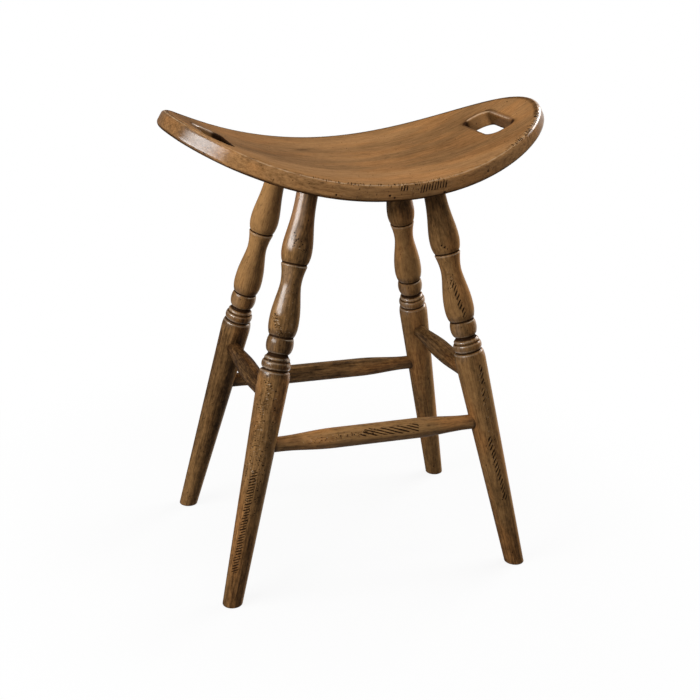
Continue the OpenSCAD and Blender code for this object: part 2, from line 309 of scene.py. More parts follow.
def wear_zones(fields, d, angle, radius, zones):
    """Marks in zones on a turned piece, by their kind. Each zone starts and ends at a distance along in
    millimetres and a direction round in degrees, then has its half width in millimetres and its strength."""
    for kind, places in zones.items():
        for d0, a0, d1, a1, half, amount in places:
            share = np.clip((d / MM - d0) / (d1 - d0), 0, 1)
            turn = (np.degrees(angle) - (a0 + (a1 - a0) * share) + 180) % 360 - 180
            aside = np.hypot(np.radians(turn) * radius / MM, d / MM - np.clip(d / MM, d0, d1))
            fields[kind] = np.maximum(fields[kind], amount * smooth(1.5, 0.5, aside / half))


def seat_point(x, y, w):
    """Points of the seat: x and y on its middle surface, then w square to it."""
    u = x / HALF_LENGTH
    slope = np.arctan(RISE / HALF_LENGTH * (2 * (1 - LATE_RISE) * u + 4 * LATE_RISE * u ** 3))
    rise = RISE * ((1 - LATE_RISE) * u ** 2 + LATE_RISE * u ** 4)
    return np.stack([x - w * np.sin(slope), y + 0 * x, MIDDLE_Z + rise + w * np.cos(slope)], -1)


LEG_TOP = seat_point(np.array(LEG_X), np.array(LEG_Y), -THICK / 2)


def leg_axis_at(z):
    """Where the back right leg's axis is at that height. The other legs mirror it."""
    drop = LEG_TOP[2] - z
    return np.array([LEG_TOP[0] + LEAN_X * drop, LEG_TOP[1] + LEAN_Y * drop, z])


# Lower lips of a leg's grooves, painted lighter as glints where they catch the light, and the feet of its
# swells, where glaze gathers
GROOVE_LIPS = (FLARE + 0.5 * MM, BEAD + 0.6 * MM)
GLAZED_FEET = (GROOVE - 2.5 * MM, LOWER_GROOVE - 2.9 * MM, BEAD_NECK - 1.3 * MM)
# Painted light and shade round each leg: direction round it, half width of that side in degrees, and how much
# lighter. A leg is a little lighter towards the left lamp, with a darker left edge and a much lighter right
# edge where the right lamp lights it
SIDE_LIGHT_AND_SHADE = [(-70, 30, 0.04), (-95, 18, -0.16), (55, 18, 0.56)]
# Direction round a leg and half width in degrees of its right front side, which is painted darker as shade
SHADED_SIDE = (14, 27)


def make_leg(node, sx, sy, polish, stained, stain, zones, finish):
    """The leg on those sides of the stool. polish is how much lacquer it has. Then come how much darker its
    right front side is painted, as shade, and how much lighter than usual it is at places along it, which on
    some legs also holds painted shadow of the seat near the upper end."""
    leg_length = LEG_TOP[2] * math.sqrt(1 + LEAN_X ** 2 + LEAN_Y ** 2)
    even, radius = leg_outline(leg_length)
    rings = np.concatenate([np.arange(-TENON, CLOSE_START, 2 * MM),
                            np.arange(CLOSE_START, CLOSE_END, 0.8 * MM),
                            np.arange(CLOSE_END, leg_length - FOOT_LENGTH, 3 * MM)])
    along = (sx * LEAN_X, sy * LEAN_Y, -1)

    def wear(fields, points, d, angle, r):
        # Painted shade where the leg meets the seat, and on its inner side round the end of each stretcher
        joint = bell(d, 0, 7 * MM)
        for height, axis in ((LONG_HEIGHT, 0), (SIDE_HEIGHT, 1)):
            away = points - leg_axis_at(height) * (sx, sy, 1)
            inner = away[:, axis] * (sx, sy)[axis] < 0
            away[:, axis] = 0
            gap = np.linalg.norm(away, axis=1) - STRETCHER_END_R
            joint = np.maximum(joint, np.where(inner, 0.6 * bell(gap, 0, 2.5 * MM), 0))
        fields["shadow"] = joint

        direction = np.degrees(angle)
        turnings = smooth(200 * MM, 208 * MM, d) * smooth(276 * MM, 266 * MM, d)
        right = bell(direction, 62, 18)
        fields["polish"] += polish + 0.9 * fields["ridge"] * (bell(direction, -55, 35) + 0.6 * right)
        fields["polish"] += 0.25 * right
        fields["polish"] += turnings * (0.6 * bell(direction, -50, 17) + 0.7 * bell(direction, 50, 13))
        fields["weathered"] -= 0.3 * smooth(200 * MM, 190 * MM, d) + 0.65 * turnings
        for height in GLAZED_FEET:
            fields["hollow"] += 0.45 * bell(d, height, 5 * MM)
        fields["stain"] += np.interp(d / MM, *zip(*stain)) - 0.2 * turnings
        # Painted light and shade on the sides of the leg, with its darker shaded side
        for side, half, amount in SIDE_LIGHT_AND_SHADE + [(*SHADED_SIDE, -stained)]:
            fields["stain"] += amount * bell(direction, side, half)
        # Painted glints: a light line on the lower lip of each groove, strongest on the right front side
        for height in GROOVE_LIPS:
            glint = bell(d, height, 0.9 * MM) * (0.2 + 1.2 * bell(direction, 30, 40))
            fields["ridge"] = np.maximum(fields["ridge"], 1.4 * glint)
        wear_zones(fields, d, angle, r, zones)

    turned_piece(node, even, radius, rings, LEG_TOP * (sx, sy, 1), along, (0, -1, 0), LEG_COLUMNS,
                 (0.9 * sx + 0.4 * sy, 0.3 * sx, 0.2 * sy), True, wear, finish)


def make_stretcher(node, axis, sign, polish, stain, weathered, zones, finish):
    """A stretcher along X (axis 0) or Y (axis 1), on that side of the stool. polish, stain and weathered are
    how much lacquer it has, how much lighter it is, and how much its grain stands out."""
    middle = leg_axis_at(LONG_HEIGHT if axis == 0 else SIDE_HEIGHT)
    reach = middle[axis]
    even, radius = stretcher_outline(reach)
    rings = np.linspace(even[0], even[-1], int((even[-1] - even[0]) / (2.2 * MM)))
    start = middle * (0, sign, 1) if axis == 0 else middle * (sign, 0, 1)
    along = (1, 0, 0) if axis == 0 else (0, 1, 0)

    def wear(fields, points, d, angle, r):
        # Painted shade at each end, where the stretcher goes into a leg
        fields["shadow"] = np.maximum(bell(np.abs(d), reach - 18 * MM, 5 * MM),
                                      0.5 * bell(np.abs(d), reach - 22 * MM, 20 * MM))
        for key, amount in (("polish", polish), ("stain", stain), ("weathered", weathered)):
            fields[key] += amount
        wear_zones(fields, d, angle, r, zones)

    turned_piece(node, even, radius, rings, start, along, (0, 0, 1), STRETCHER_COLUMNS,
                 (1.7 * sign, 0.6 * axis, 0.1), False, wear, finish)


# Seat
RIM_POINTS = 900
EDGE_TURNS = np.linspace(0, math.pi / 2, 9)
WALL_SHARES = np.linspace(0, 1, 8)[1:-1]
SLOT_SPACING = 1.6 * MM
SLOT_CORNER_POINTS = 15
LEFT_SHARPER = 3 * MM
# Distance between the rows of an evenly spread net of triangles, as a share of its spacing
ROW_SHARE = 0.866
RIM_STAIN = 0.10
RIM_POLISH = 0.13
TOP_POLISH = 0.04
# Where the top and the walls of the handholds start on the surface laid flat, clear of the rim
SHEET_START = 0.6
WALL_START = 2


def signed_power(base, power):
    return np.sign(base) * np.abs(base) ** power


def rim_normal(a):
    along = signed_power(np.cos(a), (FULLNESS - 1) * 2 / FULLNESS) / HALF_LENGTH
    across = np.sin(a) / HALF_WIDTH
    size = np.hypot(along, across)
    return along / size, across / size


def rim_angles(count):
    """Angles that space points evenly round the rim, the distance round it at each, and the whole way."""
    a = np.linspace(0, 2 * math.pi, 20001)
    way = np.concatenate([[0], np.cumsum(np.hypot(*np.diff(rim_at(a, 0))))])
    places = np.linspace(0, way[-1], count, endpoint=False)
    return np.interp(places, way, a), places, way[-1]


def rim_at(a, inset):
    """X and Y at those angles round the rim, and that far in from it."""
    along, across = rim_normal(a)
    return (HALF_LENGTH * signed_power(np.cos(a), 2 / FULLNESS) - inset * along,
            HALF_WIDTH * np.sin(a) - inset * across)


RIM_ANGLES, RIM_WAYS, RIM_LENGTH = rim_angles(RIM_POINTS)


def plan_share(x, y, inset):
    """Under 1 inside the seat's plan, drawn in by inset, and over 1 outside it."""
    return (np.abs(x) / (HALF_LENGTH - inset)) ** FULLNESS + (np.abs(y) / (HALF_WIDTH - inset)) ** 2


def dish_at(x, y):
    """How deep the top is dished."""
    share = plan_share(x, y, TOP_EDGE) ** (1 / FULLNESS)
    return DISH * (1 - np.minimum(share, 1) ** DISH_POWER)


def slot_outline(grow):
    """A handhold's outline about its own middle, grown outwards."""
    flat = np.array([SLOT_HALF_WIDTH, SLOT_HALF_LENGTH]) - SLOT_CORNER
    corners = [flat * way for way in ((1, 1), (-1, 1), (-1, -1), (1, -1))]
    points = []
    for quarter, corner in enumerate(corners):
        for a in np.linspace(quarter, quarter + 1, SLOT_CORNER_POINTS) * math.pi / 2:
            points.append(corner + (SLOT_CORNER + grow) * np.array([math.cos(a), math.sin(a)]))
        straight = corners[(quarter + 1) % 4] - corner
        count = int(np.abs(straight).sum() / SLOT_SPACING)
        points += [points[-1] + straight * k / count for k in range(1, count)]
    return np.array(points)


def in_slot(x, y, grow=SLOT_EASE):
    dx = max(abs(abs(x) - SLOT_X) - (SLOT_HALF_WIDTH - SLOT_CORNER), 0)
    dy = max(abs(y) - (SLOT_HALF_LENGTH - SLOT_CORNER), 0)
    return math.hypot(dx, dy) < SLOT_CORNER + grow


def arc_length(x):
    """Distance along the seat's curve from its middle, nearly, which the grain follows."""
    u = x / HALF_LENGTH
    return x * (1 + 0.5 * (2 * RISE / HALF_LENGTH) ** 2 * u ** 2 / 3 * 0.9)


class Shell:
    """The seat's mesh as it grows: points given by place on the middle surface and height square to it."""

    def __init__(self):
        self.faces, self.flat = [], []
        self.count = 0
        self.values = {key: [] for key in ("x", "y", "w", "on_rim", "hollow", "ridge", "shadow", "stain",
                                           "polish")}

    def add(self, x, y, w, polish=TOP_POLISH, **marks):
        """Adds points and returns their numbers. on_rim is 1 for those of the rim."""
        marks.update(x=x, y=y, w=w, polish=polish)
        for key, values in self.values.items():
            values.append(np.broadcast_to(np.asarray(marks.get(key, 0.0), float), len(x)))
        numbers = np.arange(self.count, self.count + len(x))
        self.count += len(x)
        return numbers

    def band(self, lower, upper, ways, w_lower, w_upper, whole):
        """Quads between two rings of equal size. ways are the distances round them, and whole is the distance
        back to the first."""
        n = len(lower)
        for i in range(n):
            j = (i + 1) % n
            self.faces.append([lower[i], lower[j], upper[j], upper[i]])
            here, there = ways[i], ways[j] if j else whole
            self.flat += [(here, w_lower), (there, w_lower), (there, w_upper), (here, w_upper)]

    def sheet(self, numbers, loops, up):
        """Triangles that fill the seat's plan between its rim and its handholds, from the points numbered."""
        x, y = (np.concatenate(self.values[key])[numbers] for key in "xy")
        edges = [(int(a), int(b)) for loop in loops for a, b in zip(loop, np.roll(loop, -1))]
        made = delaunay_2d_cdt([Vector(p) for p in zip(x, y)], edges, [], 0, 1e-7)
        corners = np.array(made[0])
        original = np.array([group[0] for group in made[3]])
        for face in made[2]:
            if in_slot(*corners[list(face)].mean(0)):
                continue
            face = [original[v] for v in (face if up else reversed(face))]
            self.faces.append([numbers[v] for v in face])
            self.flat += [(arc_length(x[v]), y[v] + SHEET_START) for v in face]


def handhold_corner(x, y):
    """How near a place is to a corner of a handhold, where it is made darker. It is darkened less at the back
    on the outer side and at the front on the inner side."""
    gap_x = np.abs(np.abs(x) - SLOT_X) - SLOT_HALF_WIDTH * 0.85
    gap_y = np.abs(y) - SLOT_HALF_LENGTH * 0.9
    return bell(np.hypot(gap_x, gap_y), 0, 9 * MM) * np.where((np.abs(x) - SLOT_X) * y > 0, 0.35, 1)


def handhold_lip(x, y):
    """Where the top edge of a handhold is worn lighter and painted with a highlight: its back end, and half
    of its outer side.
    """
    outer = np.abs(x) > SLOT_X
    end = smooth(34 * MM, 44 * MM, y) * smooth(-16 * MM, -9 * MM, np.abs(x) - SLOT_X)
    return np.maximum(end, smooth(-42 * MM, -20 * MM, y) * outer * 0.85)


def edge_radii(x):
    """Radii of the rim's bottom and top roundings, which are sharper towards the left end, up to its tip."""
    sharp = smooth(175 * MM, 215 * MM, -x) * smooth(277 * MM, 258 * MM, -x)
    return BOTTOM_EDGE - LEFT_SHARPER * sharp, TOP_EDGE - LEFT_SHARPER * sharp


def edge_glaze(x, y):
    """How much dark glaze is left along the top edge: all of it at the back, rather less at the right end."""
    end = smooth(238 * MM, 256 * MM, x) * smooth(-115 * MM, -90 * MM, y)
    return np.maximum(smooth(45 * MM, 75 * MM, y), 0.8 * end)


def rim_gloss(x, y, w):
    """The rim's lacquer is whole where hands don't rub it: the face on the left end, the lip on the right."""
    top = THICK / 2 - w
    face = smooth(208 * MM, 246 * MM, -x) * smooth(269 * MM, 254 * MM, -x) * smooth(0, -20 * MM, y)
    end = 0.75 * smooth(225 * MM, 262 * MM, x) * smooth(60 * MM, 20 * MM, y)
    lip = smooth(215 * MM, 240 * MM, x) * smooth(60 * MM, 35 * MM, y) * smooth(6.5 * MM, 4.5 * MM, top)
    return (face * smooth(1.0 * MM, 3.5 * MM, top) + 0.9 * lip * smooth(0.3 * MM, 1.3 * MM, top)
            + end * smooth(3 * MM, 6 * MM, top))


def chip_depths():
    """How far the top edge of the rim is worn away at each place round it."""
    rng = np.random.RandomState(7)
    depth = np.zeros(RIM_POINTS)
    for _ in range(170):
        at, half, cut = rng.uniform(0, RIM_LENGTH), rng.uniform(1.2, 4) * MM, rng.uniform(0.08, 0.35) * MM
        gap = np.abs((RIM_WAYS - at + RIM_LENGTH / 2) % RIM_LENGTH - RIM_LENGTH / 2)
        depth = np.maximum(depth, cut * np.exp(-(gap / half) ** 2))
    return depth


def fill_points(inset, spacing):
    """Evenly spread points inside the seat's plan, clear of its rim and its handholds."""
    found = []
    for k, y in enumerate(np.arange(-HALF_WIDTH, HALF_WIDTH, spacing * ROW_SHARE)):
        for x in np.arange(-HALF_LENGTH + (k % 2) * spacing / 2, HALF_LENGTH, spacing):
            if plan_share(x, y, inset) < 1 and not in_slot(x, y, SLOT_EASE + 0.9 * spacing):
                found.append((x, y))
    return np.array(found)


def rim_rings():
    """The rim's rings, from its bottom edge to its top one: how far in each lies and how high, how much
    darker it is made, most under its bottom edge, how much more glaze it can hold, how far it is chipped and
    rubbed, and how far it belongs to the top."""
    bottom_edge, top_edge = edge_radii(rim_at(RIM_ANGLES, 0)[0])
    rings = []
    for a in EDGE_TURNS[::-1]:
        w = -THICK / 2 + bottom_edge * (1 - math.sin(a))
        # Darker towards the underside of the bottom edge
        glaze = 0.25 + 0.8 * smooth(18, 50, math.degrees(a))
        rings.append((bottom_edge * (1 - math.cos(a)), w, glaze, 0, 0, 0))
    for share in WALL_SHARES:
        w = -THICK / 2 + bottom_edge + share * (THICK - bottom_edge - top_edge)
        rings.append((0.0, w, 0.22 + 0.14 * (1 - share), 0, 0, 0))
    for a in EDGE_TURNS:
        w = THICK / 2 - top_edge * (1 - math.sin(a))
        turn = math.degrees(a)
        rings.append((top_edge * (1 - math.cos(a)), w, 0, smooth(48, 66, turn), bell(turn, 48, 13),
                      smooth(50, 80, turn)))
    return rings


def add_rim(shell):
    """Adds the rim, and returns its lowest and its highest ring."""
    chips = chip_depths()
    rings = rim_rings()
    numbers = []
    for inset, w, glaze, more_glaze, lip, top in rings:
        x, y = rim_at(RIM_ANGLES, inset + chips * lip)
        numbers.append(shell.add(x, y, w - chips * lip, on_rim=1,
                                 hollow=glaze + more_glaze * edge_glaze(x, y),
                                 ridge=lip * (1 - smooth(45 * MM, 75 * MM, y)),
                                 polish=RIM_POLISH * (1 - top) + TOP_POLISH * top,
                                 stain=RIM_STAIN * (1 - top)))
    heights = [np.mean(ring[1]) for ring in rings]
    for k in range(len(rings) - 1):
        shell.band(numbers[k], numbers[k + 1], RIM_WAYS, heights[k], heights[k + 1], RIM_LENGTH)
    return numbers[0], numbers[-1]


def handhold_marks(side, part, value, x, y):
    """Marks on one ring of a handhold: its lip, worn lighter and painted with a highlight, painted shade on
    its walls, its darker corners, and its lighter back end.
    """
    lip = bell(math.degrees(value), 58, 38) if part == "top" else 0
    lip = lip * handhold_lip(x, y)
    back = smooth(38 * MM, 46 * MM, y)
    inner = np.abs(x) < SLOT_X
    # Painted shade on the walls and lower edge of each handhold, the left one nearly black inside
    wall, top_wall = (0.40, 0.3) if side == 1 else (1.1, np.where(inner, 1.1, 0.3))
    wall_shade_and_corners = {"bottom": 0.8, "wall": wall, "top": top_wall}[part] * (1 - back) + 1.3 * handhold_corner(x, y)
    glint = 0.8 * back if side == -1 else 0.0
    return dict(ridge=lip, hollow=wall_shade_and_corners, polish=0.1 + 0.8 * lip + glint, stain=0.45 * back - 0.28 * (1 - back))


def add_handhold(shell, side):
    """Adds the wall and eased edges of the handhold on that side, and returns its rings from the lowest."""
    parts = [("bottom", a) for a in EDGE_TURNS[::-1]] + [("wall", share) for share in WALL_SHARES]
    parts += [("top", a) for a in EDGE_TURNS]
    rings, heights = [], []
    for part, value in parts:
        plan = slot_outline(0.0 if part == "wall" else SLOT_EASE * (1 - math.cos(value)))
        x, y = side * (SLOT_X + plan[:, 0]), plan[:, 1]
        top = THICK / 2 - dish_at(x, y)
        if part == "bottom":
            w = np.full(len(x), -THICK / 2 + SLOT_EASE * (1 - math.sin(value)))
        elif part == "top":
            w = top - SLOT_EASE * (1 - math.sin(value))
        else:
            w = -THICK / 2 + SLOT_EASE + value * (top - SLOT_EASE + THICK / 2 - SLOT_EASE)
        rings.append(shell.add(x, y, w, **handhold_marks(side, part, value, x, y)))
        heights.append(float(w.mean()))
    ways = WALL_START + np.concatenate([[0], np.cumsum(np.hypot(*np.diff(slot_outline(0), axis=0).T))])
    for k in range(len(rings) - 1):
        loops = (rings[k + 1], rings[k]) if side == 1 else (rings[k], rings[k + 1])
        shell.band(*loops, ways, heights[k], heights[k + 1], ways[-1] + SLOT_SPACING)
    return rings


def add_face(shell, rim, holes, up):
    """Fills the top or the underside, from that ring of the rim to those rings of the handholds."""
    edge = TOP_EDGE if up else BOTTOM_EDGE
    by_rim = rim_at(RIM_ANGLES, edge + 1.8 * MM)
    further = rim_at(RIM_ANGLES[::2], edge + 5 * MM)
    inner = fill_points(edge + 9 * MM, 5 * MM if up else 8 * MM)
    by_slot = slot_outline(SLOT_EASE + 2.6 * MM)
    x = np.concatenate([by_rim[0], further[0], inner[:, 0], by_slot[:, 0] + SLOT_X, -by_slot[:, 0] - SLOT_X])
    y = np.concatenate([by_rim[1], further[1], inner[:, 1], by_slot[:, 1], by_slot[:, 1]])
    if up:
        glazed = 0.9 * handhold_corner(x, y)
        glazed[:RIM_POINTS] += 0.8 * edge_glaze(*by_rim)
        glazed[-2 * len(by_slot):] += 0.75 * handhold_lip(x, y)[-2 * len(by_slot):]
        added = shell.add(x, y, THICK / 2 - dish_at(x, y), hollow=glazed)
    else:
        # Painted shade on the underside round the top of each leg
        gap = np.hypot(np.abs(x) - LEG_X, np.abs(y) - LEG_Y) - 15 * MM
        added = shell.add(x, y, -THICK / 2, shadow=bell(gap, 0, 7 * MM))
    numbers = np.concatenate([rim, *holes, added])
    ends = np.cumsum([len(rim), len(holes[0]), len(holes[1])])
    shell.sheet(numbers, np.split(np.arange(len(numbers)), ends)[:3], up)


# Lighter and darker places on the top: X, Y, half sizes along and across, turn in degrees, amount
SMUDGES = [(-125, 12, 62, 20, 20, -0.20), (-54, 82, 20, 6, 35, -0.35), (130, -30, 60, 32, -20, -0.12),
           (50, -45, 120, 20, -12, -0.05), (252, 0, 34, 90, 0, 0.32), (60, 125, 150, 34, 0, 0.38),
           (0, 20, 60, 60, 0, 0.18), (0, -140, 160, 30, 0, -0.11), (-235, 40, 40, 70, 0, -0.22)]
# Where the rim is struck along its front, by kind: place along X, half length, height, half height, amount
RIM_WEAR = dict(hatched=[(54, 19, 3.5, 4.8, 1.05), (10, 7, 6.5, 3.4, 1.15)],
                pitted=[(0, 110, 0, 8, 0.3), (40, 60, 10.5, 2, 0.7), (225, 50, 10.5, 2, 1.0),
                        (-60, 70, 11, 1.6, 0.6), (30, 24, 5, 5, 0.55)],
                holed=[(0, 90, -6, 5, 0.18), (120, 60, 0, 9, 0.04)])
# How pitted and holed the whole seat is
SEAT_WEAR = dict(hatched=0.0, pitted=0.06, holed=0.02)


def finish_seat(fields, x, y, w, on_rim):
    """Adds the rim's lacquer, its darker places with painted shade at its left tip, its wear, and the top's
    smudges to the seat's fields.
    """
    gloss = np.where(on_rim, rim_gloss(x, y, w), 0)
    left_face = 0.6 * gloss * (x < 0)
    # The rim's left tip, which faces the left lamp, is painted darker as shade
    left_tip = 0.42 * smooth(252 * MM, 264 * MM, -x)
    left_front = 0.10 * smooth(40 * MM, 100 * MM, -x) * smooth(205 * MM, 180 * MM, -x)
    fields["polish"] += gloss
    fields["stain"] -= on_rim * (left_face + left_tip + left_front)
    fields["weathered"] = on_rim * (1 - 0.6 * smooth(190 * MM, 250 * MM, np.abs(x)))
    for at_x, at_y, half_x, half_y, turn, amount in SMUDGES:
        along, across = x - at_x * MM, y - at_y * MM
        c, s = math.cos(math.radians(turn)), math.sin(math.radians(turn))
        size = np.hypot((along * c + across * s) / (half_x * MM), (across * c - along * s) / (half_y * MM))
        fields["stain"] += amount * bell(size, 0, 1) * (w > THICK / 2 - TOP_EDGE)
    for kind, places in RIM_WEAR.items():
        fields[kind] = np.full(len(x), SEAT_WEAR[kind])
        for at, half, w_at, w_half, amount in places:
            along, across = np.abs(x - at * MM) / (half * MM), np.abs(w - w_at * MM) / (w_half * MM)
            zone = amount * smooth(1.4, 0.6, along) * smooth(1.5, 0.5, across)
            fields[kind] = np.maximum(fields[kind], zone * on_rim * (y < 0))


def make_seat(finish):
    shell = Shell()
    bottom, top = add_rim(shell)
    walls = [add_handhold(shell, side) for side in (-1, 1)]
    add_face(shell, top, [rings[-1] for rings in walls], True)
    add_face(shell, bottom, [rings[0] for rings in walls], False)

    fields = {key: np.concatenate(values) for key, values in shell.values.items()}
    x, y, w, on_rim = (fields.pop(key) for key in ("x", "y", "w", "on_rim"))
    w *= 1 - 0.015 * smooth(255 * MM, HALF_LENGTH, np.abs(x))
    fields["wood"] = np.stack([arc_length(x), y, w], -1)
    fields["waist"] = np.full(len(x), 0.5)
    finish_seat(fields, x, y, w, on_rim > 0)
    faces = [[int(v) for v in face] for face in shell.faces]
    make_piece("shaped_seat", seat_point(x, y, w), faces, fields, shell.flat, "seat",
               finish)


# Finishes
class Amount:
    """A number that varies over the wood, so that a finish is written as plain sums."""

    def __init__(self, nodes, socket):
        self.nodes = nodes
        self.socket = socket

    def _math(self, operation, first, second=0.0):
        return self.nodes.amount("ShaderNodeMath", {"operation": operation}, {0: first, 1: second})

    def __add__(self, other):
        return self._math("ADD", self, other)

    def __sub__(self, other):
        return self._math("SUBTRACT", self, other)

    def __rsub__(self, other):
        return self._math("SUBTRACT", other, self)

    def __mul__(self, other):
        return self._math("MULTIPLY", self, other)

    __radd__ = __add__
    __rmul__ = __mul__

    def most(self, other):
        return self._math("MAXIMUM", self, other)

    def sine(self):
        return self._math("SINE", self)

    def eased(self, low, high):
        """0 at low, 1 at high, and eased between."""
        return self.nodes.amount("ShaderNodeMapRange", {"interpolation_type": "SMOOTHSTEP"},
                                 {0: self, 1: low, 2: high})


class Nodes:
    """A node tree that is put together from few words."""

    def __init__(self, tree):
        self.tree = tree

    def add(self, kind, settings, sockets):
        """A node of that kind: its settings first, then its sockets, each a value or a link."""
        node = self.tree.nodes.new(kind)
        for key, value in settings.items():
            setattr(node, key, value)
        self.feed(node, sockets)
        return node

    def feed(self, node, sockets):
        for key, value in sockets.items():
            socket = node.inputs[key]
            if isinstance(value, Amount):
                value = value.socket
            if isinstance(value, bpy.types.NodeSocket):
                self.tree.links.new(value, socket)
            elif isinstance(value, tuple) and len(socket.default_value) == 4:
                socket.default_value = (*value, 1)
            else:
                socket.default_value = value

    def amount(self, kind, settings, sockets, output=0):
        """The number that comes out of a new node of that kind."""
        return Amount(self, self.add(kind, settings, sockets).outputs[output])

    def seen(self):
        """1 where a camera, a gloss or a glass looks straight at it, and 0 where it only lights."""
        path = self.add("ShaderNodeLightPath", {}, {})
        camera, gloss, glass = (Amount(self, path.outputs[ray])
                                for ray in ("Is Camera Ray", "Is Glossy Ray", "Is Transmission Ray"))
        return camera.most(gloss).most(glass)


class Finish(Nodes):
    """A node material, with words for what wood and its wear look like."""

    def __init__(self, name):
        self.material = bpy.data.materials.new(name)
        self.material.use_nodes = True
        super().__init__(self.material.node_tree)
        self.shader = self.tree.nodes["Principled BSDF"]

    def field(self, name):
        return self.amount("ShaderNodeAttribute", {"attribute_name": name}, {}, "Fac")

    def place(self, name):
        return self.add("ShaderNodeAttribute", {"attribute_name": name}, {}).outputs["Vector"]

    def vector(self, operation, first, second):
        return self.add("ShaderNodeVectorMath", {"operation": operation}, {0: first, 1: second}).outputs[0]

    def part(self, vector, axis):
        return self.amount("ShaderNodeSeparateXYZ", {}, {0: vector}, axis)

    def together(self, parts):
        return self.add("ShaderNodeCombineXYZ", {}, parts).outputs[0]

    def mix(self, first, second, share, how="MIX"):
        settings = {"data_type": "RGBA", "blend_type": how}
        return self.add("ShaderNodeMix", settings, {0: share, 6: first, 7: second}).outputs[2]

    def noise(self, place, scale, detail=2.0, roughness=0.5):
        """Noise from 0 to 1 with its own scale along each axis, in waves per metre."""
        stretched = self.vector("MULTIPLY", place, scale)
        return self.amount("ShaderNodeTexNoise", {}, {"Vector": stretched, "Scale": 1.0, "Detail": detail,
                                                      "Roughness": roughness})

    def pits(self, place, spacing, share):
        """Small round holes in the cells of a loose net. share is how many of the cells have one."""
        cells = self.vector("MULTIPLY", place, (1 / spacing, 1 / spacing, 1))
        node = self.add("ShaderNodeTexVoronoi", {"voronoi_dimensions": "2D"}, {"Vector": cells, "Scale": 1.0})
        chance = self.part(node.outputs["Color"], 0)
        size = self.part(node.outputs["Color"], 1) * 0.12
        shape = 1 - (Amount(self, node.outputs["Distance"]) - size).eased(0.10, 0.26)
        return shape * (share - chance).eased(0.0, 0.05)

    def slanted(self, place, slant):
        """A flat place turned, so that its first part runs square to strokes at that angle to the length."""
        c, s = math.cos(math.radians(slant)), math.sin(math.radians(slant))
        along, around = self.part(place, 0), self.part(place, 1)
        return self.together({0: along * s + around * c, 1: along * c - around * s})

    def strokes(self, place, spacing, share):
        """A row of short strokes where share is high, each with its own weight and ends."""
        wander = self.noise(place, (90, 8, 1), 1)
        wave = (self.part(place, 0) * (2 * math.pi / spacing) + wander * 4.0).sine()
        heavy = self.noise(place, (0.9 / spacing, 60, 1), 1)
        ragged = self.noise(place, (0.8 / spacing, 130, 1))
        struck = (share * 1.3 - 0.55 - (ragged - 0.5) * 3.4).eased(0.0, 0.3)
        return (wave + (heavy - 0.5) * 1.3).eased(0.05, 0.5) * struck

    def gouges(self, place, share):
        """Short ticks torn out of the surface, and the light chips that stand between them."""
        rough = self.noise(place, (640, 190, 1), 1.5, 0.6)
        torn = (rough + share * 0.22 - 0.73).eased(0.0, 0.06)
        chips = (0.32 + share * 0.08 - rough).eased(0.0, 0.05) * share
        return torn, chips


# Colour of the wood inside a mark, and the seat's front board: where its joint is, how it slants and how much
# lighter the board is
MARK_COLOUR = (0.016, 0.007, 0.003)
FRONT_JOINT = (-88 * MM, -60 * MM)
JOINT_SLANT = 0.23
FRONT_LIGHTER = 0.26


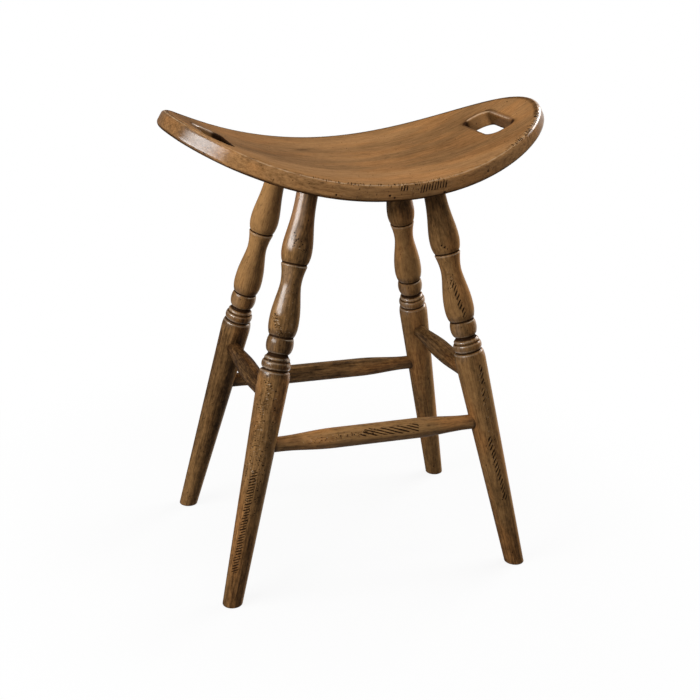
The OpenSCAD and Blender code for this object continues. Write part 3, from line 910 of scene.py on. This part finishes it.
def stained_wood(name, light, dark, orange, glaze, rubbed, streaks, lines, fine, wear, slant, stroke,
                 hole_spacing, coat_roughness, boards):
    """Stained hardwood under a satin lacquer, with dark glaze left in its hollows, painted shade at joints,
    undersides and handholds, and edges rubbed lighter, some of them painted with glints.
    light to rubbed are its colours. streaks and lines are the broad grain's strength and its waves per metre
    along and across, fine the fine grain's strength, and wear how far edges are rubbed. slant and stroke are
    the angle and spacing of its strokes, and boards is true for the seat, whose front board is lighter."""
    f = Finish(name)
    place = f.place("wood")
    drift = f.noise(place, (2.5, 14, 14))
    grain = f.vector("ADD", place, f.together({1: drift * 0.012, 2: drift * 0.010}))
    broad = f.noise(grain, (4, 24, 24))
    bands = f.noise(grain, (lines[0], lines[1], lines[1]), 3, 0.65)
    fibre = f.noise(grain, (20, 270, 270), 3, 0.7)
    hair = f.noise(grain, (26, 620, 620), 2, 0.6)
    mottle = f.noise(place, (110, 180, 180), 3, 0.7)
    blotch = f.noise(place, (26, 60, 60), 3, 0.6)
    pores = f.noise(grain, (110, 1100, 1100), 1).eased(0.60, 0.72)
    tone = 0.5 + (broad - 0.5) * 0.22 + (bands - 0.5) * streaks + (fibre - 0.5) * fine + (hair - 0.5) * 0.9
    weathered = f.field("weathered")
    tone = tone + (mottle - 0.5) * (fine + weathered * 0.3) + (fibre - 0.5) * weathered * 1.3
    tone = tone + (blotch - 0.5) * (0.4 + weathered * 0.3) + f.field("stain")
    if boards:
        strip = f.part(place, 1) + f.part(place, 0) * JOINT_SLANT + (drift - 0.5) * 0.02
        tone = tone + 0.14 - strip.eased(*FRONT_JOINT) * FRONT_LIGHTER
    colour = f.mix(dark, light, tone.eased(-0.3, 1.3))
    warmth = f.noise(place, (7, 26, 26)).eased(0.46, 0.66)
    colour = f.mix(colour, orange, warmth * 0.6, "MULTIPLY")
    colour = f.mix(colour, glaze, pores * 0.35)

    hollow, ridge, shadow, waist = (f.field(key) for key in ("hollow", "ridge", "shadow", "waist"))
    patchy = f.noise(place, (70, 110, 110), 3, 0.65)
    # Glaze in the hollows, and painted shade from the shadow field and the handholds' walls, take the wood
    # towards the glaze colour
    glaze_and_shade = (hollow * (0.45 + patchy * 0.7)).most(shadow * (0.5 + patchy * 0.5))
    glaze_and_shade = glaze_and_shade + (waist - 0.5) * 0.35 + (blotch - 0.5) * 0.4
    colour = f.mix(colour, glaze, glaze_and_shade.eased(0.08, 1.0))
    # Edges rubbed lighter, and painted glints where the ridge values go over 1
    rubbed_and_glint = (ridge * (patchy * 1.7 - 0.10)).eased(0.35, 0.80)
    colour = f.mix(colour, rubbed, rubbed_and_glint * (wear + (ridge - 1).eased(0.0, 0.3) * 0.45))

    flat = f.add("ShaderNodeUVMap", {"uv_map": "unrolled"}, {}).outputs[0]
    slanted = f.slanted(flat, slant)
    strokes = f.strokes(slanted, stroke, f.field("hatched"))
    torn, chips = f.gouges(slanted, f.field("pitted"))
    holes = f.pits(flat, hole_spacing, f.field("holed"))
    marks = strokes.most(torn).most(holes)
    colour = f.mix(colour, rubbed, chips * 0.7)
    colour = f.mix(colour, MARK_COLOUR, marks * 0.95)

    gloss = f.field("polish") * (0.6 + mottle * 0.5 + fibre * 0.3) * (1 - marks * 0.8)
    gloss = gloss * (1 - hollow.eased(0.0, 0.9) * 0.95)
    height = (fibre - 0.5) * 0.00006 + (bands - 0.5) * 0.00010 + (patchy - 0.5) * 0.00015
    height = height - pores * 0.00003 - marks * 0.0006
    bump = f.add("ShaderNodeBump", {}, {"Strength": 1.0, "Distance": 1.0, "Height": height})
    f.feed(f.shader, {"Base Color": colour, "Coat Weight": gloss, "Normal": bump.outputs[0],
                      "Roughness": 0.52 + (fibre - 0.5) * 0.25 + glaze_and_shade.eased(0.1, 1.0) * 0.1,
                      "Specular IOR Level": 0.0, "Coat Roughness": coat_roughness, "Coat IOR": 1.5})
    return f.material


def turned_wood(name, slant, stroke, streaks=0.5):
    """The finish of the legs and stretchers, with its own strokes where it is struck."""
    return stained_wood(name, light=(0.47, 0.250, 0.093), dark=(0.034, 0.016, 0.006),
                        orange=(1.42, 1.16, 0.95), glaze=(0.034, 0.016, 0.007), rubbed=(0.72, 0.58, 0.42),
                        streaks=streaks, lines=(6, 90), fine=0.9, wear=0.16, slant=slant, stroke=stroke,
                        hole_spacing=3.4 * MM, coat_roughness=0.22, boards=False)


# Camera, lights and floor
CAMERA_PLACE = (-0.5536, -1.5827, 0.9443)
CAMERA_AZIMUTH = math.radians(-16.404)
CAMERA_ELEVATION = math.radians(22.021)
CAMERA_ROLL = math.radians(0.448)
PHOTO_SIZE = 700
FOCAL_PIXELS = 1165.4
CENTRE_PIXEL = (293.7, 378.35)
SENSOR = 36.0
AIM = (0, 0, 0.38)
# The white floor: its half size, how light it is to bounced light and to the eye, how much of that glows by
# itself near the stool, and where it comes to glow altogether
FLOOR_HALF = 12.0
FLOOR_BOUNCE = 0.25
FLOOR_WHITE = 0.90
FLOOR_GLOW = 0.90
FLOOR_FADE = (0.35, 0.85)


def towards(azimuth, elevation):
    """The direction to a place at those angles, in radians. Azimuth 0 is in front, and grows to the right."""
    return Vector((math.sin(azimuth) * math.cos(elevation), -math.cos(azimuth) * math.cos(elevation),
                   math.sin(elevation)))


def make_camera():
    data = bpy.data.cameras.new("camera")
    data.sensor_width = SENSOR
    data.sensor_fit = "HORIZONTAL"
    data.lens = FOCAL_PIXELS / PHOTO_SIZE * SENSOR
    data.shift_x = (PHOTO_SIZE / 2 - CENTRE_PIXEL[0]) / PHOTO_SIZE
    data.shift_y = (CENTRE_PIXEL[1] - PHOTO_SIZE / 2) / PHOTO_SIZE
    back = towards(CAMERA_AZIMUTH, CAMERA_ELEVATION)
    right = Vector((math.cos(CAMERA_AZIMUTH), math.sin(CAMERA_AZIMUTH), 0))
    up = right.cross(-back)
    across = right * math.cos(CAMERA_ROLL) + up * math.sin(CAMERA_ROLL)
    upward = up * math.cos(CAMERA_ROLL) - right * math.sin(CAMERA_ROLL)
    turn = Matrix((across, upward, back)).transposed().to_4x4()
    camera = add_object("camera", data)
    camera.matrix_world = Matrix.Translation(CAMERA_PLACE) @ turn
    bpy.context.scene.camera = camera


def softbox(name, azimuth, elevation, distance, width, height, radiance, aim=AIM):
    """A soft light that faces the stool, from a place at those angles in degrees."""
    way = towards(math.radians(azimuth), math.radians(elevation))
    data = bpy.data.lights.new(name, "AREA")
    data.shape = "RECTANGLE"
    data.size = width
    data.size_y = height
    data.energy = radiance * math.pi * width * height
    light = add_object(name, data)
    light.location = Vector(aim) + way * distance
    light.rotation_euler = way.to_track_quat("Z", "Y").to_euler()


def make_world(ambient):
    """A world that is white to look at, and lights the stool only a little."""
    world = bpy.data.worlds.new("studio")
    bpy.context.scene.world = world
    world.use_nodes = True
    nodes = Nodes(world.node_tree)
    strength = ambient + nodes.seen() * (1 - ambient)
    nodes.feed(nodes.tree.nodes["Background"], {"Color": (1, 1, 1), "Strength": strength})


def make_floor():
    """A white floor that keeps the stool's shadow, and fades into the white world further out."""
    f = Finish("white floor")
    seen = f.seen()
    lit = FLOOR_BOUNCE + seen * (FLOOR_WHITE - FLOOR_BOUNCE)
    grey = f.add("ShaderNodeCombineColor", {}, {0: lit, 1: lit, 2: lit}).outputs[0]
    f.feed(f.shader, {"Base Color": grey, "Roughness": 0.9, "Specular IOR Level": 0.0})
    where = f.add("ShaderNodeTexCoord", {}, {}).outputs["Object"]
    away = f.amount("ShaderNodeVectorMath", {"operation": "LENGTH"}, {0: where}, "Value")
    share = seen * (FLOOR_GLOW + away.eased(*FLOOR_FADE) * (1 - FLOOR_GLOW))
    glow = f.add("ShaderNodeEmission", {}, {"Color": (1.0, 1.0, 1.0), "Strength": 1.0}).outputs[0]
    mix = f.add("ShaderNodeMixShader", {}, {0: share, 1: f.shader.outputs[0], 2: glow})
    f.feed(f.tree.nodes["Material Output"], {"Surface": mix.outputs[0]})
    mesh = bpy.data.meshes.new("floor")
    corners = [(x * FLOOR_HALF, y * FLOOR_HALF, 0) for x, y in ((-1, -1), (1, -1), (1, 1), (-1, 1))]
    mesh.from_pydata(corners, [], [(0, 1, 2, 3)])
    mesh.materials.append(f.material)
    add_object("floor", mesh)


make_camera()
make_world(0.05)
softbox("left softbox", -78, 21, 1.55, 1.25, 0.42, 14, aim=(-0.12, -0.1, 0.5))
softbox("right softbox", 106, 31, 1.8, 1.3, 0.70, 9)
softbox("front fill", -20, 35, 2.6, 2.4, 1.8, 0.75)
softbox("overhead", 0, 88, 2.0, 1.6, 1.2, 2.0)
make_floor()

seat_finish = stained_wood("stained seat wood", light=(0.50, 0.255, 0.096), dark=(0.10, 0.046, 0.014),
                           orange=(1.30, 1.16, 1.00), glaze=(0.040, 0.018, 0.008), rubbed=(0.62, 0.42, 0.24),
                           streaks=0.26, lines=(2, 120), fine=0.42, wear=0.55, slant=104, stroke=4.0 * MM,
                           hole_spacing=6.5 * MM, coat_roughness=0.16, boards=True)
leg_finish = turned_wood("stained turned wood", 35, 4.6 * MM)
front_left_finish = turned_wood("stained wood of the front left leg", 62, 3.7 * MM)
stretcher_finish = turned_wood("stained wood of the stretchers", 18, 3.9 * MM, streaks=0.6)

make_seat(seat_finish)
# Zones on the legs and stretchers, by kind: distance along and direction round at the start and at the end,
# half width, strength. Distance 0 is a leg's upper end and a stretcher's middle. Direction 0 is a leg's front
# and a stretcher's top
make_leg("leg_front_left", -1, -1, polish=0.07, stained=0.20,
         stain=[(0, 0), (110, -0.05), (300, -0.05), (420, -0.06), (600, -0.2)],
         zones=dict(
             polish=[(0, -48, 84, -48, 9, 0.95), (118, -46, 176, -46, 7, 0.85)],
             # Painted glints on the right of the fillet and of the collar, where the ridge values go over 1
             ridge=[(245, 34, 246.5, 34, 1.7, 1.4), (245, 43, 246.5, 43, 1.7, 1.4),
                    (251.5, 33, 253, 33, 1.7, 1.4), (251.5, 43, 253, 43, 1.7, 1.4)],
             pitted=[(251, -50, 259, -46, 5, 0.9), (78, -35, 92, 5, 6, 0.6), (188, -55, 206, -25, 7, 0.8),
                     (150, -5, 205, 10, 9, 0.35), (262, -50, 290, -30, 6, 0.7), (300, -35, 400, -45, 8, 0.5),
                     (300, -10, 400, -15, 14, 0.35), (407, -35, 424, -14, 5, 0.8),
                     (425, -40, 560, -40, 6, 0.3)],
             holed=[(72, -30, 96, 10, 7, 0.30), (285, -30, 470, -25, 15, 0.16)],
             hatched=[(412, -28, 560, -40, 4.2, 1.1)]),
         finish=front_left_finish)
make_leg("leg_front_right", 1, -1, polish=0.06, stained=0.06,
         stain=[(0, -0.18), (70, -0.12), (110, 0.06), (190, 0.12), (440, 0.08), (540, -0.12), (600, -0.2)],
         zones=dict(
             hatched=[(96, -32, 101, -18, 2.2, 0.9), (152, -24, 204, -5, 3.2, 1.0),
                      (283, 14, 340, 1, 3.0, 0.8), (398, -12, 500, 6, 3.4, 1.0)],
             pitted=[(140, -30, 160, -26, 6, 0.5), (300, 10, 460, 0, 8, 0.4)]),
         finish=leg_finish)
make_leg("leg_back_left", -1, 1, polish=0.06, stained=0.36,
         stain=[(0, 0.46), (110, 0.36), (150, 0.26), (240, 0.24), (290, -0.3), (400, -0.3), (600, 0.02)],
         zones=dict(hatched=[(380, 150, 430, 165, 3, 0.9)], pitted=[(190, 140, 205, 150, 7, 0.8)]),
         finish=leg_finish)
# The back right leg is made darker near its upper end as painted shadow of the seat
make_leg("leg_back_right", 1, 1, polish=0.06, stained=-0.06,
         stain=[(0, -0.58), (80, -0.5), (115, 0.14), (240, 0.2), (300, 0)],
         zones=dict(polish=[(0, 54, 84, 54, 5, 0.75), (118, 56, 200, 56, 4, 0.45)],
                    hatched=[(290, 120, 350, 105, 3, 0.9)]),
         finish=leg_finish)
make_stretcher("stretcher_front", 0, -1, polish=0.14, stain=0.38, weathered=1.0,
               zones=dict(
                   hatched=[(-20, -58, 58, -62, 5.5, 1.05)],
                   pitted=[(-110, -70, -10, -60, 6, 0.5)],
                   holed=[(-60, -60, -10, -60, 5, 0.2)],
                   # Painted shade along its lower front side and at its left end, by the front left leg
                   shadow=[(-140, -120, 140, -120, 8, 0.7), (-162, -70, -125, -65, 14, 0.55)]),
               finish=stretcher_finish)
make_stretcher("stretcher_back", 0, 1, polish=0.12, stain=-0.16, weathered=0.4,
               zones=dict(hatched=[(-30, 60, 20, 62, 3.5, 0.9)]), finish=stretcher_finish)
for side, sign, stain in (("left", -1, -0.53), ("right", 1, -0.34)):
    make_stretcher("stretcher_" + side, 1, sign, polish=0.05, stain=stain, weathered=0, zones={},
                   finish=stretcher_finish)

bpy.context.scene.view_settings.view_transform = "Standard"
bpy.context.view_layer.update()
